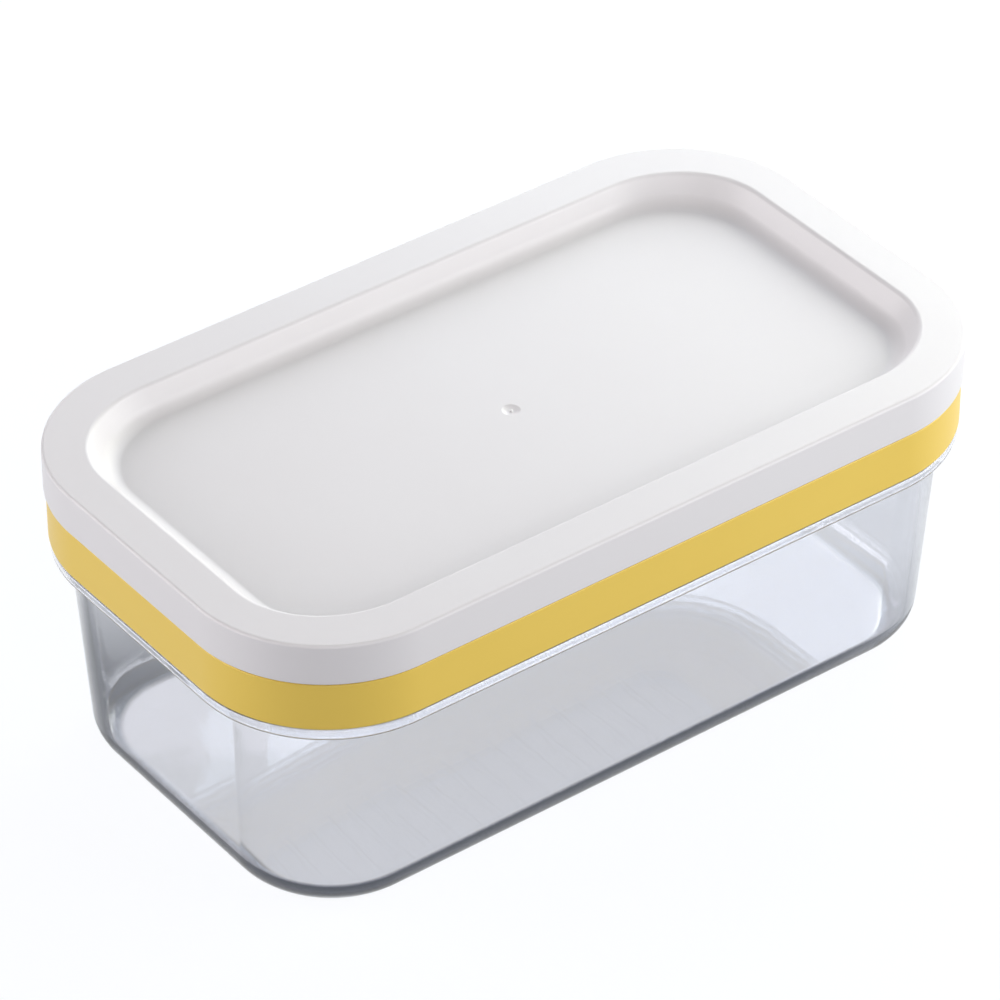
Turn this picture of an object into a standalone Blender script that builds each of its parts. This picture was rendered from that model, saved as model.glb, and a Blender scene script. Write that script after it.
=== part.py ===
"""Butter cutting box: a clear case, a frame strung with cutting wires, and a lid.

The box stands on its base with the origin at the middle of that base. X runs along
the long side, Y along the short side and Z up. All lengths are in metres. The lid
lifts off the cutter frame, and the cutter frame lifts off the case.
"""

import math

import bmesh
import bpy
from mathutils import Matrix

# Outline of the lid, which is the outline of the whole box
LID_LENGTH = 0.165
LID_WIDTH = 0.095
LID_CORNER = 0.0275

# Lid
SKIRT_HEIGHT = 0.0085
SKIRT_WALL = 0.0020
LID_TOP_WALL = 0.0018
LID_EDGE_ROUND = 0.0006
END_RING_WIDTH = 0.0083
SIDE_RING_WIDTH = 0.0089
END_LEAN_SHARE = 0.60
SIDE_LEAN_SHARE = 0.30
RECESS_CORNER = 0.0175
RECESS_FILLET = 0.0022

# Case
CASE_HEIGHT = 0.0465
CASE_WALL = 0.0018
CASE_FLOOR = 0.0020
CASE_CORNER = 0.0205
CASE_DRAFT_SHARE = 0.05
CASE_FOOT_ROUND = 0.0060
RIM_HEIGHT = 0.0022
RIM_INSET = 0.00065
RIM_OVERHANG = 0.0040
RIM_ROUND = 0.0004
RIM_TOP_WALL = 0.0008
RIM_WALL = 0.0010
LIP_HEIGHT = 0.0030

# Cutter frame
BAND_HEIGHT = 0.0099
BAND_INSET = 0.0004
BAND_WALL = 0.0020
BAND_ROUND = 0.0003
WEB_THICKNESS = 0.0022
LOWER_COLLAR_WALL = 0.0020
UPPER_COLLAR_HEIGHT = 0.0040
UPPER_COLLAR_WALL = 0.0016
OPENING_CORNER = 0.0060
END_LEDGE = 0.0076
SIDE_LEDGE = 0.0016

# Cutting wires and the ring that holds them
WIRE_DIAMETER = 0.0004
WIRE_PITCH = 0.0055
WIRE_HOLD = 0.0035
RETAINER_THICKNESS = 0.0012

# Clearances
SEAT_GAP = 0.0003
COLLAR_CLEARANCE = 0.0004

# Parts of a shape that are sunk into its neighbour before they are joined, and cuts
# that run past the face they open
LAP_SHARE = 0.5
OVERRUN = 0.0010

# Steps of the round stretches
CORNER_STEPS = 10
FILLET_STEPS = 4
EDGE_STEPS = 2
WIRE_RESOLUTION = 2

# Faces that meet at less than this angle shade as one
SMOOTH_ANGLE = math.radians(40)

PART_COLLECTION = "butter_cutting_box"
CUTTER_COLLECTION = "cutters"


class Outline:
    """A rectangle with round corners, centred on the box's middle line."""

    def __init__(self, length, width, corner):
        self.length = length
        self.width = width
        self.corner = corner

    def inset(self, distance):
        """The outline moved inwards by a distance, or outwards by a negative one."""
        return Outline(
            self.length - 2 * distance,
            self.width - 2 * distance,
            self.corner - distance,
        )


# Heights, from the base up
rim_low = CASE_HEIGHT - RIM_HEIGHT
band_low = CASE_HEIGHT + SEAT_GAP
band_high = band_low + BAND_HEIGHT
web_low = band_high - WEB_THICKNESS
skirt_low = band_high + SEAT_GAP
lid_high = skirt_low + SKIRT_HEIGHT
lid_ceiling = lid_high - LID_TOP_WALL
lip_high = CASE_HEIGHT + LIP_HEIGHT
collar_high = band_high + UPPER_COLLAR_HEIGHT
retainer_low = band_high + SEAT_GAP
retainer_high = retainer_low + RETAINER_THICKNESS
panel_low = retainer_high + SEAT_GAP
panel_high = panel_low + LID_TOP_WALL
recess_depth = lid_high - panel_high
recess_fillet = min(RECESS_FILLET, recess_depth)
cross_wire_height = band_high - WIRE_DIAMETER / 2
long_wire_height = cross_wire_height - WIRE_DIAMETER - SEAT_GAP

# Outlines, from the outside in
lid_outline = Outline(LID_LENGTH, LID_WIDTH, LID_CORNER)
skirt_inside = lid_outline.inset(SKIRT_WALL)
band_outline = lid_outline.inset(BAND_INSET)
band_inside = band_outline.inset(BAND_WALL)
rim_outline = lid_outline.inset(RIM_INSET)
upper_collar = skirt_inside.inset(COLLAR_CLEARANCE)
upper_collar_inside = upper_collar.inset(UPPER_COLLAR_WALL)
retainer_outline = upper_collar_inside.inset(SEAT_GAP)


def case_outline(height):
    """Outer outline of the drafted case wall and of its lip at a height."""
    narrowing = RIM_OVERHANG + CASE_DRAFT_SHARE * (CASE_HEIGHT - height)
    return Outline(
        rim_outline.length - 2 * narrowing,
        rim_outline.width - 2 * narrowing,
        CASE_CORNER,
    )


lower_collar = case_outline(band_low).inset(CASE_WALL + SEAT_GAP)
lower_collar_inside = lower_collar.inset(LOWER_COLLAR_WALL)
opening = Outline(
    lower_collar_inside.length - 2 * END_LEDGE,
    lower_collar_inside.width - 2 * SIDE_LEDGE,
    OPENING_CORNER,
)
cross_wire_count = round(opening.length / WIRE_PITCH) - 1


def recess_outline(height):
    """Outline of the lid's sunk panel at a height, on its leaning walls."""
    depth = lid_high - height
    return Outline(
        LID_LENGTH - 2 * (END_RING_WIDTH + END_LEAN_SHARE * depth),
        LID_WIDTH - 2 * (SIDE_RING_WIDTH + SIDE_LEAN_SHARE * depth),
        RECESS_CORNER,
    )


def clear_scene():
    """Remove whatever the file opened with."""
    for item in list(bpy.data.objects):
        bpy.data.objects.remove(item, do_unlink=True)


def new_collection(name):
    """Make a collection under the scene's own."""
    collection = bpy.data.collections.new(name)
    bpy.context.scene.collection.children.link(collection)
    return collection


def plastic(name, colour, roughness, transmission=0.0):
    """Moulded plastic: a colour with an optional clear share."""
    material = bpy.data.materials.new(name)
    material.use_nodes = True
    shader = material.node_tree.nodes["Principled BSDF"]
    shader.inputs["Base Color"].default_value = (*colour, 1.0)
    shader.inputs["Roughness"].default_value = roughness
    shader.inputs["Metallic"].default_value = 0.0
    shader.inputs["Transmission Weight"].default_value = transmission
    material.diffuse_color = (*colour, 1.0 - transmission / 2)
    return material


def drawn_steel(name):
    """Bright drawn wire."""
    material = bpy.data.materials.new(name)
    material.use_nodes = True
    shader = material.node_tree.nodes["Principled BSDF"]
    shader.inputs["Base Color"].default_value = (0.62, 0.62, 0.60, 1.0)
    shader.inputs["Roughness"].default_value = 0.25
    shader.inputs["Metallic"].default_value = 1.0
    material.diffuse_color = (0.62, 0.62, 0.60, 1.0)
    return material


def rounded_block(name, outline, low, high, top_outline=None, low_round=0.0, high_round=0.0,
                  round_steps=EDGE_STEPS):
    """A block on an outline, which may lean out to the length and width of another on top.

    The upright corners get their arcs first, and the edges round the bottom and the
    top are rounded after them.
    """
    top_outline = top_outline or outline
    shape = bmesh.new()
    bmesh.ops.create_cube(shape, size=1.0)
    for vert in shape.verts:
        at_top = vert.co.z > 0
        end = top_outline if at_top else outline
        vert.co.x *= end.length
        vert.co.y *= end.width
        vert.co.z = high if at_top else low

    middle = (low + high) / 2

    def on_bottom(edge):
        return all(vert.co.z < middle for vert in edge.verts)

    def on_top(edge):
        return all(vert.co.z > middle for vert in edge.verts)

    upright = [edge for edge in shape.edges if not on_bottom(edge) and not on_top(edge)]
    bmesh.ops.bevel(shape, geom=upright, offset=outline.corner, offset_type="OFFSET",
                    segments=CORNER_STEPS, profile=0.5, affect="EDGES")
    for is_there, radius in ((on_bottom, low_round), (on_top, high_round)):
        if radius > 0:
            around = [edge for edge in shape.edges if is_there(edge)]
            bmesh.ops.bevel(shape, geom=around, offset=radius, offset_type="OFFSET",
                            segments=round_steps, profile=0.5, affect="EDGES")
    bmesh.ops.recalc_face_normals(shape, faces=shape.faces)
    mesh = bpy.data.meshes.new(name)
    shape.to_mesh(mesh)
    shape.free()
    return bpy.data.objects.new(name, mesh)


def rounded_tube(name, outer, inner, low, high):
    """An upright tube between two outlines."""
    tube = rounded_block(name, outer, low, high)
    inside = rounded_block(name + "_inside", inner, low - OVERRUN, high + OVERRUN)
    change(tube, inside, "DIFFERENCE")
    return tube


def change(target, other, operation):
    """Cut or join another shape, which is then kept as a guide only."""
    step = target.modifiers.new(operation.lower() + "_" + other.name, "BOOLEAN")
    step.operation = operation
    step.solver = "EXACT"
    step.object = other
    cutters.objects.link(other)
    other.hide_render = True
    other.display_type = "WIRE"


def shade_round(item):
    """Smooth shading on arcs, with a crease where faces meet sharply."""
    item.data.shade_smooth()
    item.data.set_sharp_from_angle(angle=SMOOTH_ANGLE)


def place(item, parent, material):
    """Put a finished piece into the part, on the empty it moves with."""
    parts.objects.link(item)
    item.parent = parent
    item.matrix_parent_inverse = parent.matrix_world.inverted()
    item.data.materials.append(material)


def lift_axis(name, height, parent=None):
    """An empty on the upright axis along which a piece lifts off."""
    axis = bpy.data.objects.new(name, None)
    axis.empty_display_size = SKIRT_HEIGHT
    axis.location = (0.0, 0.0, height)
    parts.objects.link(axis)
    if parent is not None:
        axis.parent = parent
        axis.location.z = height - parent.matrix_world.translation.z
    bpy.context.view_layer.update()
    return axis


def build_case(parent):
    """Clear tray: a drafted body that rises as a lip through its turned-down rim."""
    case = rounded_block("case", case_outline(0.0), 0.0, lip_high,
                         top_outline=case_outline(lip_high),
                         low_round=CASE_FOOT_ROUND, round_steps=FILLET_STEPS)
    rim = rounded_block("case_rim", rim_outline, rim_low, CASE_HEIGHT,
                        low_round=RIM_ROUND, high_round=RIM_ROUND)
    rim_groove = rounded_block("rim_groove", rim_outline.inset(RIM_WALL),
                               rim_low - OVERRUN, CASE_HEIGHT - RIM_TOP_WALL)
    hollow_high = lip_high + OVERRUN
    hollow = rounded_block("case_hollow", case_outline(CASE_FLOOR).inset(CASE_WALL),
                           CASE_FLOOR, hollow_high,
                           top_outline=case_outline(hollow_high).inset(CASE_WALL),
                           low_round=CASE_FOOT_ROUND - CASE_WALL,
                           round_steps=FILLET_STEPS)
    change(rim, rim_groove, "DIFFERENCE")
    change(case, rim, "UNION")
    change(case, hollow, "DIFFERENCE")
    shade_round(case)
    place(case, parent, plastic("clear_plastic", (0.80, 0.82, 0.85), 0.08, 0.9))


def cross_wire_places():
    """Places along X of the wires across the opening, centred and one pitch apart."""
    middle = (cross_wire_count - 1) / 2
    return [(index - middle) * WIRE_PITCH for index in range(cross_wire_count)]


def wire_grooves(name, places, length, width, bottom):
    """Cutter for slots that open upwards in the web, one at each place along X."""
    top = band_high + OVERRUN
    shape = bmesh.new()
    for along in places:
        spot = Matrix.Translation((along, 0.0, (bottom + top) / 2))
        size = Matrix.Diagonal((length, width, top - bottom, 1.0))
        bmesh.ops.create_cube(shape, size=1.0, matrix=spot @ size)
    mesh = bpy.data.meshes.new(name)
    shape.to_mesh(mesh)
    shape.free()
    return bpy.data.objects.new(name, mesh)


def build_cutter_frame(parent, material):
    """Yellow moulding: band, web with the cutting opening, and two collars."""
    frame = rounded_block("cutter_frame", band_outline, band_low, band_high,
                          low_round=BAND_ROUND, high_round=BAND_ROUND)
    lap = WEB_THICKNESS * LAP_SHARE
    underside = rounded_block("band_hollow", band_inside, band_low - OVERRUN, web_low)
    lower = rounded_tube("lower_collar", lower_collar, lower_collar_inside,
                         band_low, web_low + lap)
    upper = rounded_tube("upper_collar", upper_collar, upper_collar_inside,
                         band_high - lap, collar_high)
    window = rounded_block("cutting_opening", opening, web_low - OVERRUN, band_high + OVERRUN)
    change(frame, underside, "DIFFERENCE")
    change(frame, lower, "UNION")
    change(frame, upper, "UNION")
    change(frame, window, "DIFFERENCE")
    slot = WIRE_DIAMETER + 2 * SEAT_GAP
    reach = 2 * (WIRE_HOLD + SEAT_GAP)
    cross_grooves = wire_grooves("cross_wire_grooves", cross_wire_places(),
                                 slot, opening.width + reach, cross_wire_height - slot / 2)
    long_groove = wire_grooves("long_wire_groove", [0.0],
                               opening.length + reach, slot, long_wire_height - slot / 2)
    change(frame, cross_grooves, "DIFFERENCE")
    change(frame, long_groove, "DIFFERENCE")
    shade_round(frame)
    place(frame, parent, material)


def build_wire_retainer(parent, material):
    """Flat ring on the web that holds the ends of the wires down."""
    ring = rounded_tube("wire_retainer", retainer_outline, opening, retainer_low, retainer_high)
    shade_round(ring)
    place(ring, parent, material)


def straight_wire(name, start, end):
    """One straight drawn wire between two points."""
    curve = bpy.data.curves.new(name, "CURVE")
    curve.dimensions = "3D"
    curve.bevel_depth = WIRE_DIAMETER / 2
    curve.bevel_resolution = WIRE_RESOLUTION
    curve.use_fill_caps = True
    spline = curve.splines.new("POLY")
    spline.points.add(1)
    spline.points[0].co = (*start, 1.0)
    spline.points[1].co = (*end, 1.0)
    return bpy.data.objects.new(name, curve)


def build_wires(parent):
    """The wires across the opening, and one along its middle just under them."""
    steel = drawn_steel("drawn_steel")
    reach = opening.width / 2 + WIRE_HOLD
    for number, along in enumerate(cross_wire_places(), start=1):
        wire = straight_wire(f"cross_wire_{number:02d}",
                             (along, -reach, cross_wire_height),
                             (along, reach, cross_wire_height))
        place(wire, parent, steel)
    reach = opening.length / 2 + WIRE_HOLD
    wire = straight_wire("long_wire", (-reach, 0.0, long_wire_height),
                         (reach, 0.0, long_wire_height))
    place(wire, parent, steel)


def build_lid(parent):
    """White lid: a flat ring and skirt round a sunk panel."""
    lid = rounded_block("lid", lid_outline, skirt_low, lid_high, high_round=LID_EDGE_ROUND)
    hollow = rounded_block("lid_hollow", skirt_inside, skirt_low - OVERRUN, lid_ceiling)
    dish_high = lid_ceiling + LID_TOP_WALL * LAP_SHARE
    dish = rounded_block("lid_dish", recess_outline(panel_low).inset(-LID_TOP_WALL),
                         panel_low, dish_high,
                         top_outline=recess_outline(dish_high).inset(-LID_TOP_WALL),
                         low_round=recess_fillet + LID_TOP_WALL, round_steps=FILLET_STEPS)
    recess_high = lid_high + OVERRUN
    recess = rounded_block("lid_recess", recess_outline(panel_high), panel_high, recess_high,
                           top_outline=recess_outline(recess_high),
                           low_round=recess_fillet, round_steps=FILLET_STEPS)
    change(lid, hollow, "DIFFERENCE")
    change(lid, dish, "UNION")
    change(lid, recess, "DIFFERENCE")
    shade_round(lid)
    place(lid, parent, plastic("white_plastic", (0.80, 0.79, 0.79), 0.45))


clear_scene()
parts = new_collection(PART_COLLECTION)
cutters = new_collection(CUTTER_COLLECTION)
base = lift_axis("case_base", 0.0)
cutter_axis = lift_axis("cutter_lift", band_low, base)
lid_axis = lift_axis("lid_lift", skirt_low, cutter_axis)
yellow = plastic("yellow_plastic", (0.74, 0.54, 0.12), 0.40)
build_case(base)
build_cutter_frame(cutter_axis, yellow)
build_wire_retainer(cutter_axis, yellow)
build_wires(cutter_axis)
build_lid(lid_axis)
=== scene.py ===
"""Looks of the butter cutting box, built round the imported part.

The file follows the box as it is put together: the clear case, the yellow cutter frame,
its wires and the ring that holds them, the white lid, and then the set it is shown on.
All lengths are in metres.
"""

import math

import bmesh
import bpy
from mathutils import Matrix, Vector


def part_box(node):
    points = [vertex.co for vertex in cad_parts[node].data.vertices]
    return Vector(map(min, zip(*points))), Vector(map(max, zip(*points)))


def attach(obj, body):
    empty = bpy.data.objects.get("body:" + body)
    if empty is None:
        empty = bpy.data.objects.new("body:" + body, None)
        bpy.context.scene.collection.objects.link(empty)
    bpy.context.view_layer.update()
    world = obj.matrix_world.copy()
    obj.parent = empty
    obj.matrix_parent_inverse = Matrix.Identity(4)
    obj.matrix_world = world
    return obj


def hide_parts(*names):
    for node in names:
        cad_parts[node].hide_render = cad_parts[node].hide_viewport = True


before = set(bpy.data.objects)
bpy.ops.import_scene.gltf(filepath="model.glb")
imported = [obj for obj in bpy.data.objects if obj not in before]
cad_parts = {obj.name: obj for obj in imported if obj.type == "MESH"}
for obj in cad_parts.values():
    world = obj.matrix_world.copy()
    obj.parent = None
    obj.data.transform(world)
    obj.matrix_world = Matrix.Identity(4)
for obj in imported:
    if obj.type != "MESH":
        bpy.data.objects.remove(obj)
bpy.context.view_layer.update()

# Clear case
# The real one is a tray of styrene acrylonitrile resin, moulded in one shot. The frame
# sits on its flat rim, round a low lip. The tray stands loose on the table.
case_low, case_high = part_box("case")
RIM_CORNER = 0.02685
RIM_HEIGHT = 0.0022
RIM_OVERHANG = 0.0040
LIP_HEIGHT = 0.0030
RIM_ROUND = 0.0004
RIM_WALL = 0.0010
RIM_TOP_WALL = 0.0008
CASE_WALL = 0.0018
CASE_FLOOR = 0.0020
CASE_CORNER = 0.0205
CASE_DRAFT_SHARE = 0.05
CASE_FOOT_ROUND = 0.0060
CASE_EDGE_ROUND = 0.00035
OVERRUN = 0.0010
CORNER_STEPS = 32
FOOT_STEPS = 10
EDGE_STEPS = 3
SHARP_ANGLE = math.radians(35.0)
SMOOTH_ANGLE = math.radians(40.0)
SAME_PLACE = 0.00001
RESIN_IOR = 1.57
RESIN_TINT = "#99A0B0"
RESIN_TINT_DENSITY = 115.0
RESIN_SHADE = "#DDE0E6"


def pick(piece, kind, wanted):
    """In edit mode, selects the vertices, edges or faces that pass a test."""
    bpy.ops.mesh.select_mode(type=kind)
    bpy.ops.mesh.select_all(action="DESELECT")
    shape = bmesh.from_edit_mesh(piece.data)
    items = {"VERT": shape.verts, "EDGE": shape.edges, "FACE": shape.faces}[kind]
    for item in items:
        if wanted(item):
            item.select_set(True)
    shape.select_flush_mode()
    bmesh.update_edit_mesh(piece.data)


def lies_at(height):
    """A test for edges that lie flat at a height."""
    return lambda edge: all(abs(vert.co.z - height) < SAME_PLACE for vert in edge.verts)


def rounded_block(name, length, width, corner, low, high,
                  lean=(0.0, 0.0), foot_round=0.0, top_round=0.0, steps=FOOT_STEPS):
    """A cube made into a block with round corners, whose ends and sides lean outwards."""
    bpy.ops.object.select_all(action="DESELECT")
    bpy.ops.mesh.primitive_cube_add(size=1.0, location=(0.0, 0.0, (low + high) / 2),
                                    scale=(length, width, high - low))
    block = bpy.context.object
    block.name = name
    bpy.ops.object.transform_apply(location=True, rotation=True, scale=True)
    bpy.ops.object.mode_set(mode="EDIT")
    pick(block, "VERT", lambda vert: vert.co.z > (low + high) / 2)
    end_lean, side_lean = lean
    rise = high - low
    bpy.ops.transform.resize(
        value=(1.0 + 2 * end_lean * rise / length, 1.0 + 2 * side_lean * rise / width, 1.0),
        center_override=(0.0, 0.0, high))
    pick(block, "EDGE", lambda edge: abs(edge.verts[0].co.z - edge.verts[1].co.z) > SAME_PLACE)
    bpy.ops.mesh.bevel(offset=corner, segments=CORNER_STEPS, affect="EDGES")
    for height, radius in ((low, foot_round), (high, top_round)):
        if radius > 0:
            pick(block, "EDGE", lies_at(height))
            bpy.ops.mesh.bevel(offset=radius, segments=steps, affect="EDGES")
    bpy.ops.mesh.select_all(action="SELECT")
    bpy.ops.mesh.normals_make_consistent(inside=False)
    bpy.ops.object.mode_set(mode="OBJECT")
    return block


def apply_step(piece, step):
    """Applies one modifier for good."""
    bpy.ops.object.select_all(action="DESELECT")
    piece.select_set(True)
    bpy.context.view_layer.objects.active = piece
    bpy.ops.object.modifier_apply(modifier=step.name)


def work(piece, tool, operation):
    """Cuts a tool's shape away from a piece or joins it on, and removes the tool."""
    step = piece.modifiers.new("work", "BOOLEAN")
    step.operation = operation
    step.solver = "EXACT"
    step.object = tool
    apply_step(piece, step)
    bpy.data.objects.remove(tool)


def break_edges(piece, radius):
    """Rounds every edge that is still sharp, then evens the shading of the flats."""
    step = piece.modifiers.new("edges", "BEVEL")
    step.width = radius
    step.segments = EDGE_STEPS
    step.limit_method = "ANGLE"
    step.angle_limit = SHARP_ANGLE
    step.use_clamp_overlap = True
    apply_step(piece, step)
    smooth(piece)


def smooth(piece):
    """Smooth shading whose normals follow the large flats."""
    bpy.ops.object.select_all(action="DESELECT")
    piece.select_set(True)
    bpy.context.view_layer.objects.active = piece
    bpy.ops.object.shade_smooth_by_angle(angle=SMOOTH_ANGLE)
    step = piece.modifiers.new("flats", "WEIGHTED_NORMAL")
    step.keep_sharp = True
    apply_step(piece, step)


def colour(code):
    """An sRGB hex colour as the linear colour that the shaders take."""
    channels = [int(code[start:start + 2], 16) / 255 for start in (1, 3, 5)]
    linear = [
        value / 12.92 if value <= 0.04045 else ((value + 0.055) / 1.055) ** 2.4
        for value in channels
    ]
    return (*linear, 1.0)


def new_finish(name):
    """An empty material with its output."""
    material = bpy.data.materials.new(name)
    material.use_nodes = True
    material.node_tree.nodes.clear()
    return material


def add_node(tree, kind, settings=None, links=None):
    """Adds a node; a setting is the name or number of an input, or else a property."""
    node = tree.nodes.new(kind)
    for name, value in (settings or {}).items():
        if isinstance(name, int) or name in node.inputs:
            node.inputs[name].default_value = value
        else:
            setattr(node, name, value)
    for name, source in (links or {}).items():
        tree.links.new(source, node.inputs[name])
    return node


def clear_resin():
    """Clear styrene acrylonitrile, polished by the mould.

    It bends light more than glass does, and its faint blue-grey tint gathers where the
    eye looks along a wall. The dark edges at the foot and the side walls come partly from
    that tint and partly from painted shade on the floor, which the resin sees in front of
    the box.
    """
    material = new_finish("clear_styrene_acrylonitrile")
    tree = material.node_tree
    place = add_node(tree, "ShaderNodeTexCoord")
    # The resin's flow leaves waves of about 20 mm in the polish, too low to see but in
    # reflections
    flow = add_node(tree, "ShaderNodeTexNoise", {"Scale": 45.0, "Detail": 2.0},
                    {"Vector": place.outputs["Object"]})
    haze = add_node(tree, "ShaderNodeMapRange",
                    {"To Min": 0.0, "To Max": 0.03}, {"Value": flow.outputs["Fac"]})
    ripple = add_node(tree, "ShaderNodeBump", {"Strength": 0.04, "Distance": 0.001},
                      {"Height": flow.outputs["Fac"]})
    resin = add_node(
        tree, "ShaderNodeBsdfPrincipled",
        {"Base Color": colour("#FDFDFE"), "IOR": RESIN_IOR, "Transmission Weight": 1.0},
        {"Roughness": haze.outputs["Result"], "Normal": ripple.outputs["Normal"]})
    # Lamp light goes straight through, so the box casts a pale shadow
    lamp_light = add_node(tree, "ShaderNodeBsdfTransparent", {"Color": colour(RESIN_SHADE)})
    path = add_node(tree, "ShaderNodeLightPath")
    surface = add_node(tree, "ShaderNodeMixShader", None,
                       {0: path.outputs["Is Shadow Ray"], 1: resin.outputs["BSDF"],
                        2: lamp_light.outputs["BSDF"]})
    tint = add_node(tree, "ShaderNodeVolumeAbsorption",
                    {"Color": colour(RESIN_TINT), "Density": RESIN_TINT_DENSITY})
    add_node(tree, "ShaderNodeOutputMaterial", None,
             {"Surface": surface.outputs["Shader"], "Volume": tint.outputs["Volume"]})
    return material


rim_length = case_high.x - case_low.x
rim_width = case_high.y - case_low.y
lip_top = case_high.z
rim_top = lip_top - LIP_HEIGHT
case_lean = (CASE_DRAFT_SHARE, CASE_DRAFT_SHARE)


def case_wall_inset(height):
    """How far the drafted wall stands back from the rim's edge at a height."""
    return RIM_OVERHANG + CASE_DRAFT_SHARE * (rim_top - height)


foot_inset = case_wall_inset(0.0)
case = rounded_block("clear_case", rim_length - 2 * foot_inset, rim_width - 2 * foot_inset,
                     CASE_CORNER, case_low.z, lip_top, lean=case_lean,
                     foot_round=CASE_FOOT_ROUND)
rim = rounded_block("rim", rim_length, rim_width, RIM_CORNER, rim_top - RIM_HEIGHT, rim_top,
                    foot_round=RIM_ROUND, top_round=RIM_ROUND, steps=EDGE_STEPS)
groove = rounded_block("groove", rim_length - 2 * RIM_WALL, rim_width - 2 * RIM_WALL,
                       RIM_CORNER - RIM_WALL, rim_top - RIM_HEIGHT - OVERRUN,
                       rim_top - RIM_TOP_WALL)
hollow_inset = case_wall_inset(CASE_FLOOR) + CASE_WALL
hollow = rounded_block("hollow", rim_length - 2 * hollow_inset, rim_width - 2 * hollow_inset,
                       CASE_CORNER - CASE_WALL, CASE_FLOOR, lip_top + OVERRUN, lean=case_lean,
                       foot_round=CASE_FOOT_ROUND - CASE_WALL)
work(rim, groove, "DIFFERENCE")
work(case, rim, "UNION")
work(case, hollow, "DIFFERENCE")
break_edges(case, CASE_EDGE_ROUND)
case.data.materials.append(clear_resin())
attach(case, "case")
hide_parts("case")

# Cutter frame
# The real one is a satin polypropylene moulding: a band that shows between case and lid,
# a web with the cutting opening, and collars that seat in the case and in the lid.
frame_low, frame_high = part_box("cutter_frame")
BAND_CORNER = 0.0271
BAND_HEIGHT = 0.0099
BAND_WALL = 0.0020
BAND_ROUND = 0.00035
WEB_THICKNESS = 0.0022
LOWER_COLLAR_WALL = 0.0020
LOWER_COLLAR_GAP = 0.0003
UPPER_COLLAR_INSET = 0.0020
UPPER_COLLAR_WALL = 0.0016
UPPER_COLLAR_CORNER = 0.0251
OPENING_LENGTH = 0.132
OPENING_WIDTH = 0.074
OPENING_CORNER = 0.0060
GROOVE_WIDTH = 0.0010
GROOVE_REACH = 0.0038
GROOVE_DEPTH = 0.0007
LONG_GROOVE_DEPTH = 0.0014
WIRE_PITCH = 0.0055
EJECTOR_WIDTH = 0.0040
EJECTOR_DEPTH = 0.00015
EJECTOR_SEGMENTS = 48
WEB_MARK_ALONG = 0.0695
WEB_MARK_ACROSS = 0.020
FRAME_EDGE_ROUND = 0.0002
SATIN_ROUGHNESS = 0.40
SATIN_SPREAD = 0.05
GRAIN_STRENGTH = 0.05
GRAIN_HEIGHT = 0.0001


def tube(name, length, width, corner, wall, low, high):
    """An upright tube of even wall between two round-cornered outlines."""
    outside = rounded_block(name, length, width, corner, low, high)
    inside = rounded_block(name + "_inside", length - 2 * wall, width - 2 * wall,
                           corner - wall, low - OVERRUN, high + OVERRUN)
    work(outside, inside, "DIFFERENCE")
    return outside


def groove_bars(name, length, width, depth, count=1):
    """Straight cutters for grooves in the top of the web, one wire pitch apart."""
    height = depth + OVERRUN
    first = Vector((-(count - 1) * WIRE_PITCH / 2, 0.0, band_high - depth + height / 2))
    bpy.ops.object.select_all(action="DESELECT")
    bpy.ops.mesh.primitive_cube_add(size=1.0, location=first, scale=(length, width, height))
    bars = bpy.context.object
    bars.name = name
    bpy.ops.object.transform_apply(location=True, rotation=True, scale=True)
    row = bars.modifiers.new("row", "ARRAY")
    row.count = count
    row.use_relative_offset = False
    row.use_constant_offset = True
    row.constant_offset_displace = (WIRE_PITCH, 0.0, 0.0)
    apply_step(bars, row)
    return bars


def press_marks(piece, along, across, height):
    """Sinks the four round marks that ejector pins leave in a face looking down."""
    for place in ((-along, -across), (-along, across), (along, -across), (along, across)):
        bpy.ops.object.select_all(action="DESELECT")
        bpy.ops.mesh.primitive_cylinder_add(
            vertices=EJECTOR_SEGMENTS, radius=EJECTOR_WIDTH / 2, depth=OVERRUN,
            location=(*place, height + EJECTOR_DEPTH - OVERRUN / 2))
        pin = bpy.context.object
        bpy.ops.object.transform_apply(location=True, rotation=True, scale=True)
        work(piece, pin, "DIFFERENCE")


def satin_polypropylene(name, plain, cloudy):
    """Polypropylene moulded against a finely blasted tool.

    The blasted grain gives a soft satin sheen, and the flow of the melt leaves a slight
    cloudiness in its colour.
    """
    material = new_finish(name)
    tree = material.node_tree
    place = add_node(tree, "ShaderNodeTexCoord")
    # Clouds of 30 mm, as the melt leaves them between gate and edge
    clouds = add_node(tree, "ShaderNodeTexNoise", {"Scale": 33.0, "Detail": 3.0},
                      {"Vector": place.outputs["Object"]})
    # A blasted grain is 0.05 mm; it is drawn at 0.4 mm so that it shows at all
    grain = add_node(tree, "ShaderNodeTexNoise", {"Scale": 2500.0, "Detail": 1.0},
                     {"Vector": place.outputs["Object"]})
    body = add_node(tree, "ShaderNodeMix",
                    {"data_type": "RGBA", 6: colour(plain), 7: colour(cloudy)},
                    {0: clouds.outputs["Fac"]})
    sheen = add_node(tree, "ShaderNodeMapRange",
                     {"To Min": SATIN_ROUGHNESS - SATIN_SPREAD,
                      "To Max": SATIN_ROUGHNESS + SATIN_SPREAD},
                     {"Value": grain.outputs["Fac"]})
    relief = add_node(tree, "ShaderNodeBump",
                      {"Strength": GRAIN_STRENGTH, "Distance": GRAIN_HEIGHT},
                      {"Height": grain.outputs["Fac"]})
    shader = add_node(
        tree, "ShaderNodeBsdfPrincipled", {"IOR": 1.49},
        {"Base Color": body.outputs[2], "Roughness": sheen.outputs["Result"],
         "Normal": relief.outputs["Normal"]})
    add_node(tree, "ShaderNodeOutputMaterial", None, {"Surface": shader.outputs["BSDF"]})
    return material


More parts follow.
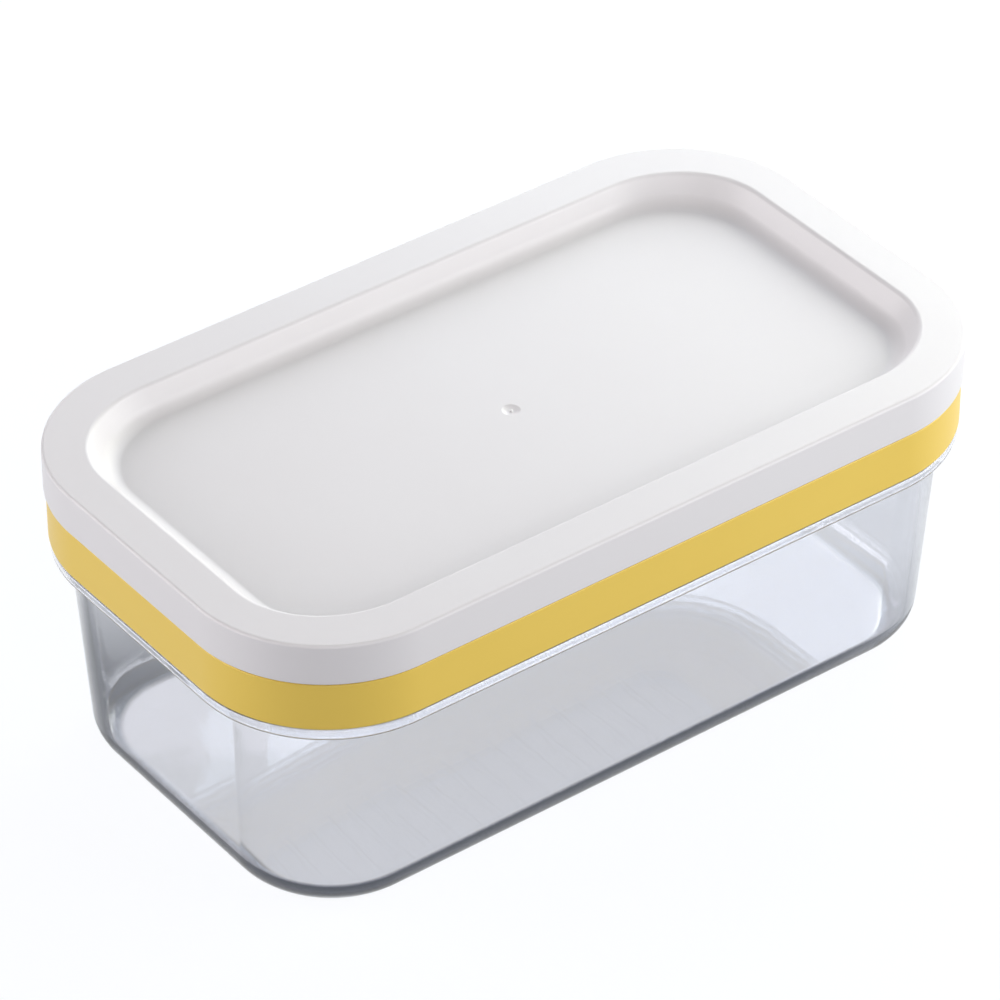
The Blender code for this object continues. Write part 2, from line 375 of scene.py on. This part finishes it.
yellow = satin_polypropylene("yellow_satin_polypropylene", "#EBCB5C", "#E7C655")
band_length = frame_high.x - frame_low.x
band_width = frame_high.y - frame_low.y
band_low = frame_low.z
band_high = band_low + BAND_HEIGHT
web_low = band_high - WEB_THICKNESS
cutter = rounded_block("yellow_cutter_frame", band_length, band_width, BAND_CORNER,
                       band_low, band_high, foot_round=BAND_ROUND, top_round=BAND_ROUND,
                       steps=EDGE_STEPS)
underside = rounded_block("underside", band_length - 2 * BAND_WALL, band_width - 2 * BAND_WALL,
                          BAND_CORNER - BAND_WALL, band_low - OVERRUN, web_low)
wire_count = sum(name.startswith("cross_wire_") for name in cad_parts)
collar_inset = case_wall_inset(band_low) + CASE_WALL + LOWER_COLLAR_GAP
lower_collar = tube("lower_collar", rim_length - 2 * collar_inset, rim_width - 2 * collar_inset,
                    CASE_CORNER - CASE_WALL - LOWER_COLLAR_GAP, LOWER_COLLAR_WALL,
                    band_low, web_low + WEB_THICKNESS / 2)
upper_collar = tube("upper_collar", band_length - 2 * UPPER_COLLAR_INSET,
                    band_width - 2 * UPPER_COLLAR_INSET, UPPER_COLLAR_CORNER,
                    UPPER_COLLAR_WALL, band_high - WEB_THICKNESS / 2, frame_high.z)
opening = rounded_block("opening", OPENING_LENGTH, OPENING_WIDTH, OPENING_CORNER,
                        web_low - OVERRUN, band_high + OVERRUN)
work(cutter, underside, "DIFFERENCE")
work(cutter, lower_collar, "UNION")
work(cutter, upper_collar, "UNION")
work(cutter, opening, "DIFFERENCE")
break_edges(cutter, FRAME_EDGE_ROUND)
work(cutter, groove_bars("cross_grooves", GROOVE_WIDTH, OPENING_WIDTH + 2 * GROOVE_REACH,
                         GROOVE_DEPTH, wire_count), "DIFFERENCE")
work(cutter, groove_bars("long_groove", OPENING_LENGTH + 2 * GROOVE_REACH, GROOVE_WIDTH,
                         LONG_GROOVE_DEPTH), "DIFFERENCE")
press_marks(cutter, WEB_MARK_ALONG, WEB_MARK_ACROSS, web_low)
smooth(cutter)
cutter.data.materials.append(yellow)
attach(cutter, "cutter")
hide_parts("cutter_frame")


# Cutting wires
# The real ones are hard drawn stainless wire, strung across the opening one slice apart,
# with one more along the middle. They are the part's own solids in a better finish.
def drawn_stainless():
    """Stainless steel pulled through a die.

    Fine draw lines run along each wire, so its highlight breaks up lengthwise.
    """
    material = new_finish("drawn_stainless_steel")
    tree = material.node_tree
    place = add_node(tree, "ShaderNodeTexCoord")
    # Draw lines are a few hundredths of a millimetre wide; drawn at 0.1 mm
    lines = add_node(tree, "ShaderNodeTexNoise", {"Scale": 10000.0, "Detail": 1.0},
                     {"Vector": place.outputs["Object"]})
    dull = add_node(tree, "ShaderNodeMapRange", {"To Min": 0.16, "To Max": 0.30},
                    {"Value": lines.outputs["Fac"]})
    tone = add_node(tree, "ShaderNodeMix",
                    {"data_type": "RGBA", 6: colour("#C9C8C4"), 7: colour("#B4B3AF")},
                    {0: lines.outputs["Fac"]})
    shader = add_node(tree, "ShaderNodeBsdfPrincipled", {"Metallic": 1.0},
                      {"Base Color": tone.outputs[2], "Roughness": dull.outputs["Result"]})
    add_node(tree, "ShaderNodeOutputMaterial", None, {"Surface": shader.outputs["BSDF"]})
    return material


steel = drawn_stainless()
for name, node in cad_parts.items():
    if name.startswith("cross_wire_") or name == "long_wire":
        for slot in node.material_slots:
            slot.material = steel

# Wire retainer
# The real one is a flat ring laid over the wire ends. Moulded pins come up through it
# from the web, and their tips are melted over into flat heads.
retainer_low, retainer_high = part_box("wire_retainer")
RETAINER_CORNER = 0.0232
RETAINER_EDGE_ROUND = 0.0002
retainer = rounded_block("yellow_wire_retainer", retainer_high.x - retainer_low.x,
                         retainer_high.y - retainer_low.y, RETAINER_CORNER,
                         retainer_low.z, retainer_high.z)
window = rounded_block("window", OPENING_LENGTH, OPENING_WIDTH, OPENING_CORNER,
                       retainer_low.z - OVERRUN, retainer_high.z + OVERRUN)
work(retainer, window, "DIFFERENCE")
break_edges(retainer, RETAINER_EDGE_ROUND)
retainer.data.materials.append(yellow)
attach(retainer, "cutter")
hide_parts("wire_retainer")

# Melted pin heads
# Each one was the tip of a plastic pin of the frame. A hot punch has pressed it into a
# low round head with a flat bed in its middle, which holds the ring down.
HEAD_WIDTH = 0.0030
HEAD_HEIGHT = 0.0008
HEAD_ROUND = 0.0005
HEAD_SEGMENTS = 40
BED_INSET = 0.0007
BED_DEPTH = 0.00015
SIDE_ROW = 0.0413
END_ROW = 0.0763
SIDE_PITCHES = (2.5, 6.5, 10.5)
END_PITCHES = (-4, 0, 4)


def pin_head(along, across):
    """One head at its place on the ring."""
    bpy.ops.object.select_all(action="DESELECT")
    bpy.ops.mesh.primitive_cylinder_add(
        vertices=HEAD_SEGMENTS, radius=HEAD_WIDTH / 2, depth=HEAD_HEIGHT,
        location=(along, across, retainer_high.z + HEAD_HEIGHT / 2))
    head = bpy.context.object
    bpy.ops.object.transform_apply(location=True, rotation=True, scale=True)
    top = retainer_high.z + HEAD_HEIGHT
    bpy.ops.object.mode_set(mode="EDIT")
    pick(head, "EDGE", lies_at(top))
    bpy.ops.mesh.bevel(offset=HEAD_ROUND, segments=EDGE_STEPS, affect="EDGES")
    pick(head, "FACE", lambda face: face.calc_center_median().z > top - SAME_PLACE)
    bpy.ops.mesh.inset(thickness=BED_INSET)
    bpy.ops.transform.translate(value=(0.0, 0.0, -BED_DEPTH))
    bpy.ops.object.mode_set(mode="OBJECT")
    return head


head_places = [(side * step * WIRE_PITCH, row * SIDE_ROW)
               for side in (-1, 1) for row in (-1, 1) for step in SIDE_PITCHES]
head_places += [(side * END_ROW, step * WIRE_PITCH)
                for side in (-1, 1) for step in END_PITCHES]
heads = [pin_head(*spot) for spot in head_places]
bpy.ops.object.select_all(action="DESELECT")
for head in heads:
    head.select_set(True)
bpy.context.view_layer.objects.active = heads[0]
bpy.ops.object.join()
pin_heads = bpy.context.object
pin_heads.name = "melted_pin_heads"
smooth(pin_heads)
pin_heads.data.materials.append(yellow)
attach(pin_heads, "cutter")

# White lid
# The real one is a satin polypropylene moulding with a flat ring, a sunk panel and a
# plain skirt. A small dimple with the cut gate stands in the middle of the panel.
lid_low, lid_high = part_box("lid")
LID_CORNER = 0.0275
LID_EDGE_ROUND = 0.0006
LID_EDGE_STEPS = 4
SKIRT_WALL = 0.0020
LID_TOP_WALL = 0.0018
END_RING_WIDTH = 0.0083
SIDE_RING_WIDTH = 0.0089
END_LEAN_SHARE = 0.60
SIDE_LEAN_SHARE = 0.30
RECESS_DEPTH = 0.0052
RECESS_CORNER = 0.0175
RECESS_FILLET = 0.0022
RECESS_EDGE_ROUND = 0.0007
RECESS_EDGE_STEPS = 6
LID_INNER_EDGE_ROUND = 0.0004
GATE_PLACE = Vector((-0.0006, -0.0012, 0.0))
GATE_WIDTH = 0.0035
GATE_DEPTH = 0.00035
GATE_SEGMENTS = 48
GATE_RINGS = 64
NUB_WIDTH = 0.0006
NUB_HEIGHT = 0.0003
NUB_ROUND = 0.0001
NUB_SEGMENTS = 20
LID_MARK_ALONG = 0.055
LID_MARK_ACROSS = 0.022

white = satin_polypropylene("white_satin_polypropylene", "#E4E3E4", "#E1DFE0")
lid_length = lid_high.x - lid_low.x
lid_width = lid_high.y - lid_low.y
panel_high = lid_high.z - RECESS_DEPTH
panel_low = panel_high - LID_TOP_WALL
lid_ceiling = lid_high.z - LID_TOP_WALL


def recess_block(name, low, high, growth, fillet):
    """The shape of the sunk panel between two heights, on its leaning walls."""
    depth = lid_high.z - low
    end_inset = END_RING_WIDTH + END_LEAN_SHARE * depth - growth
    side_inset = SIDE_RING_WIDTH + SIDE_LEAN_SHARE * depth - growth
    return rounded_block(name, lid_length - 2 * end_inset, lid_width - 2 * side_inset,
                         RECESS_CORNER + growth, low, high,
                         lean=(END_LEAN_SHARE, SIDE_LEAN_SHARE), foot_round=fillet)


def round_recess_edge():
    """Rolls the ring over into the walls of the sunk panel, well inside the lid's edge."""
    bpy.ops.object.select_all(action="DESELECT")
    lid.select_set(True)
    bpy.context.view_layer.objects.active = lid
    bpy.ops.object.mode_set(mode="EDIT")
    at_top = lies_at(lid_high.z)
    nearest = lid_width / 2 - SKIRT_WALL
    furthest = lid_length / 2 - SKIRT_WALL

    def is_inner(edge):
        inside = all(abs(vert.co.x) < furthest and abs(vert.co.y) < nearest
                     for vert in edge.verts)
        return at_top(edge) and inside and edge.calc_face_angle(0.0) > SMOOTH_ANGLE

    pick(lid, "EDGE", is_inner)
    bpy.ops.mesh.bevel(offset=RECESS_EDGE_ROUND, segments=RECESS_EDGE_STEPS, affect="EDGES")
    bpy.ops.object.mode_set(mode="OBJECT")


def gate_ball():
    """A ball that cuts the shallow dimple round the gate."""
    radius = (GATE_WIDTH ** 2 / 4 + GATE_DEPTH ** 2) / (2 * GATE_DEPTH)
    middle = GATE_PLACE + Vector((0.0, 0.0, panel_high - GATE_DEPTH + radius))
    bpy.ops.object.select_all(action="DESELECT")
    bpy.ops.mesh.primitive_uv_sphere_add(segments=GATE_SEGMENTS, ring_count=GATE_RINGS,
                                         radius=radius, location=middle)
    ball = bpy.context.object
    ball.name = "gate_dimple"
    bpy.ops.object.transform_apply(location=True, rotation=True, scale=True)
    return ball


def gate_nub():
    """The stub that stays where the sprue was cut off, rooted under the dimple's floor."""
    root = panel_high - GATE_DEPTH - NUB_HEIGHT / 2
    top = panel_high - GATE_DEPTH + NUB_HEIGHT
    bpy.ops.object.select_all(action="DESELECT")
    bpy.ops.mesh.primitive_cylinder_add(
        vertices=NUB_SEGMENTS, radius=NUB_WIDTH / 2, depth=top - root,
        location=GATE_PLACE + Vector((0.0, 0.0, (root + top) / 2)))
    nub = bpy.context.object
    nub.name = "gate_nub"
    bpy.ops.object.transform_apply(location=True, rotation=True, scale=True)
    bpy.ops.object.mode_set(mode="EDIT")
    pick(nub, "EDGE", lies_at(top))
    bpy.ops.mesh.bevel(offset=NUB_ROUND, segments=EDGE_STEPS, affect="EDGES")
    bpy.ops.object.mode_set(mode="OBJECT")
    return nub


lid = rounded_block("white_lid", lid_length, lid_width, LID_CORNER, lid_low.z, lid_high.z,
                    top_round=LID_EDGE_ROUND, steps=LID_EDGE_STEPS)
hollow = rounded_block("lid_hollow", lid_length - 2 * SKIRT_WALL, lid_width - 2 * SKIRT_WALL,
                       LID_CORNER - SKIRT_WALL, lid_low.z - OVERRUN, lid_ceiling)
dish = recess_block("dish", panel_low, lid_ceiling + LID_TOP_WALL / 2, LID_TOP_WALL,
                    RECESS_FILLET + LID_TOP_WALL)
recess = recess_block("recess", panel_high, lid_high.z + OVERRUN, 0.0, RECESS_FILLET)
work(lid, hollow, "DIFFERENCE")
work(lid, dish, "UNION")
work(lid, recess, "DIFFERENCE")
round_recess_edge()
break_edges(lid, LID_INNER_EDGE_ROUND)
work(lid, gate_ball(), "DIFFERENCE")
work(lid, gate_nub(), "UNION")
press_marks(lid, LID_MARK_ALONG, LID_MARK_ACROSS, panel_low)
smooth(lid)
lid.data.materials.append(white)
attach(lid, "lid")
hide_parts("lid")

# Set: a plain pale floor under soft studio lamps
# To the eye the floor is white. Through the clear resin it is white under the box and
# behind it, and in front and round the foot it carries painted shade, so the foot and the
# edges of the case show dark.
FLOOR_SIZE = 12.0
FLOOR_DROP = 0.0002
FLOOR_GLOW = 0.90
PAINTED_SHADE_UNDER_START = -0.0068
PAINTED_SHADE_UNDER_END = -0.0048
PAINTED_SHADE_BEHIND_START = -0.040
PAINTED_SHADE_BEHIND_END = 0.010
CAMERA_AZIMUTH = math.radians(-37.1999)

bpy.ops.object.select_all(action="DESELECT")
bpy.ops.mesh.primitive_plane_add(size=FLOOR_SIZE, location=(0.0, 0.0, -FLOOR_DROP))
floor = bpy.context.object
floor.name = "floor"
floor_paint = new_finish("matt_paper_with_painted_shade")
tree = floor_paint.node_tree
# To the lamps the paper is dim and blue-grey, so it throws little light back up into the
# resin, and where its glow is taken away as painted shade it shows as the dark blue-grey
# of the foot and edges. Its glow makes it white to the eye
paper = add_node(tree, "ShaderNodeBsdfDiffuse", {"Color": colour("#5A616C")})
place = add_node(tree, "ShaderNodeTexCoord")
# How far a place on the floor is from the outline of the case's foot, less than 0 inside
level = add_node(tree, "ShaderNodeVectorMath", {"operation": "MULTIPLY", 1: (1.0, 1.0, 0.0)},
                 {0: place.outputs["Object"]})
quarter = add_node(tree, "ShaderNodeVectorMath", {"operation": "ABSOLUTE"},
                   {0: level.outputs[0]})
foot_corner = Vector((rim_length / 2 - foot_inset - CASE_CORNER,
                      rim_width / 2 - foot_inset - CASE_CORNER, 0.0))
past_corner = add_node(tree, "ShaderNodeVectorMath",
                       {"operation": "SUBTRACT", 1: foot_corner}, {0: quarter.outputs[0]})
outwards = add_node(tree, "ShaderNodeVectorMath",
                    {"operation": "MAXIMUM", 1: (0.0, 0.0, 0.0)}, {0: past_corner.outputs[0]})
from_corner = add_node(tree, "ShaderNodeVectorMath", {"operation": "LENGTH"},
                       {0: outwards.outputs[0]})
from_foot = add_node(tree, "ShaderNodeMath", {"operation": "SUBTRACT", 1: CASE_CORNER},
                     {0: from_corner.outputs["Value"]})
# How far it is towards the viewer from the middle of the box
to_viewer = Vector((math.sin(CAMERA_AZIMUTH), -math.cos(CAMERA_AZIMUTH), 0.0))
nearness = add_node(tree, "ShaderNodeVectorMath", {"operation": "DOT_PRODUCT", 1: to_viewer},
                    {0: place.outputs["Object"]})
# Painted shade: seen through the resin, the floor loses its glow from about 5 mm inside the
# foot's outline outwards, on the viewer's side of the box
soft_run = {"To Min": 1.0, "To Max": 0.0, "interpolation_type": "SMOOTHSTEP"}
under = add_node(tree, "ShaderNodeMapRange",
                 {"From Min": PAINTED_SHADE_UNDER_START, "From Max": PAINTED_SHADE_UNDER_END, **soft_run},
                 {"Value": from_foot.outputs[0]})
behind = add_node(tree, "ShaderNodeMapRange",
                  {"From Min": PAINTED_SHADE_BEHIND_START, "From Max": PAINTED_SHADE_BEHIND_END, **soft_run},
                  {"Value": nearness.outputs["Value"]})
clear_of_painted_shade = add_node(tree, "ShaderNodeMath", {"operation": "MAXIMUM"},
               {0: under.outputs["Result"], 1: behind.outputs["Result"]})
# Straight or mirrored, the eye sees the whole floor glow, but through the resin it sees the
# glow only well under the box and behind it; elsewhere the glow is taken away as painted
# shade
path = add_node(tree, "ShaderNodeLightPath")
open_view = add_node(tree, "ShaderNodeMath", {"operation": "MAXIMUM"},
                     {0: path.outputs["Is Camera Ray"], 1: path.outputs["Is Glossy Ray"]})
seen = add_node(tree, "ShaderNodeMix", {"data_type": "FLOAT"},
                {0: path.outputs["Is Transmission Ray"], 2: open_view.outputs[0],
                 3: clear_of_painted_shade.outputs[0]})
glow_strength = add_node(tree, "ShaderNodeMath", {"operation": "MULTIPLY", 1: FLOOR_GLOW},
                         {0: seen.outputs[0]})
glow = add_node(tree, "ShaderNodeEmission", {"Color": colour("#FFFFFF")},
                {"Strength": glow_strength.outputs[0]})
both = add_node(tree, "ShaderNodeAddShader", None,
                {0: paper.outputs["BSDF"], 1: glow.outputs["Emission"]})
add_node(tree, "ShaderNodeOutputMaterial", None, {"Surface": both.outputs["Shader"]})
floor.data.materials.append(floor_paint)

# The studio is dim all round, but the eye, also through the clear resin, sees a white
# backdrop that carries the floor on
WORLD_FILL = 0.10
BACKDROP_GLOW = 1.0
world = bpy.data.worlds.new("dim_studio")
bpy.context.scene.world = world
world.use_nodes = True
tree = world.node_tree
tree.nodes.clear()
walls = add_node(tree, "ShaderNodeBackground",
                 {"Color": colour("#D5DAE4"), "Strength": WORLD_FILL})
backdrop = add_node(tree, "ShaderNodeBackground",
                    {"Color": colour("#FFFFFF"), "Strength": BACKDROP_GLOW})
path = add_node(tree, "ShaderNodeLightPath")
seen = add_node(tree, "ShaderNodeMath", {"operation": "MAXIMUM"},
                {0: path.outputs["Is Camera Ray"], 1: path.outputs["Is Transmission Ray"]})
studio = add_node(tree, "ShaderNodeMixShader", None,
                  {0: seen.outputs[0], 1: walls.outputs["Background"],
                   2: backdrop.outputs["Background"]})
add_node(tree, "ShaderNodeOutputWorld", None, {"Surface": studio.outputs["Shader"]})


def softbox(name, azimuth, elevation, distance, size, power, tint):
    """A lamp on a stand, turned to the box; azimuths are those of the camera's views."""
    light = bpy.data.lights.new(name, "AREA")
    light.size = size
    light.energy = power
    light.color = colour(tint)[:3]
    stand = bpy.data.objects.new(name, light)
    bpy.context.scene.collection.objects.link(stand)
    around = math.radians(azimuth)
    above = math.radians(elevation)
    direction = Vector((math.sin(around) * math.cos(above),
                        -math.cos(around) * math.cos(above), math.sin(above)))
    aim = Vector((0.0, 0.0, rim_top))
    stand.location = aim + direction * distance
    stand.rotation_euler = direction.to_track_quat("Z", "Y").to_euler()
    stand.visible_camera = False
    return stand


# Behind and in front, the lamps stand low, so the walls and edges of the lid stay clear
softbox("back_lamp", 143.0, 12.0, 1.0, 1.00, 5.0, "#FCF6FF")
softbox("near_back_lamp", 130.0, 30.0, 0.6, 0.40, 0.95, "#E2F3FF")
softbox("right_end_lamp", 110.0, 20.0, 0.5, 0.30, 1.2, "#FFFFEC")
softbox("front_high_lamp", -37.0, 70.0, 1.0, 0.60, 0.7, "#FFEEDC")
softbox("front_lamp", -30.0, 15.0, 1.0, 0.70, 3.4, "#FFFBFE")
softbox("right_lamp", 50.0, 15.0, 0.7, 0.70, 6.2, "#FFFFFF")
softbox("left_lamp", -127.0, 20.0, 0.8, 0.50, 3.26, "#FFFBFD")
softbox("left_end_lamp", -90.0, 10.0, 0.9, 0.40, 1.8, "#FFFCFC")

# Camera
# It looks down on the box's near corner from the photograph's viewing angle. The sensor is
# in millimetres, and the lens is given as a share of its width.
CAMERA_ELEVATION = math.radians(36.9848)
CAMERA_PLACE = Vector((-0.506396, -0.664232, 0.667980))
FOCAL_SHARE = 5.71165
SENSOR_WIDTH = 36.0
to_right = Vector((math.cos(CAMERA_AZIMUTH), math.sin(CAMERA_AZIMUTH), 0.0))
to_back = Vector((math.sin(CAMERA_AZIMUTH) * math.cos(CAMERA_ELEVATION),
                  -math.cos(CAMERA_AZIMUTH) * math.cos(CAMERA_ELEVATION),
                  math.sin(CAMERA_ELEVATION)))
to_top = to_back.cross(to_right)
camera_data = bpy.data.cameras.new("photo_camera")
camera_data.sensor_width = SENSOR_WIDTH
camera_data.lens = SENSOR_WIDTH * FOCAL_SHARE
camera = bpy.data.objects.new("photo_camera", camera_data)
bpy.context.scene.collection.objects.link(camera)
camera.matrix_world = Matrix((
    (to_right.x, to_top.x, to_back.x, CAMERA_PLACE.x),
    (to_right.y, to_top.y, to_back.y, CAMERA_PLACE.y),
    (to_right.z, to_top.z, to_back.z, CAMERA_PLACE.z),
    (0.0, 0.0, 0.0, 1.0)))
bpy.context.scene.camera = camera
bpy.context.scene.view_settings.view_transform = "Standard"
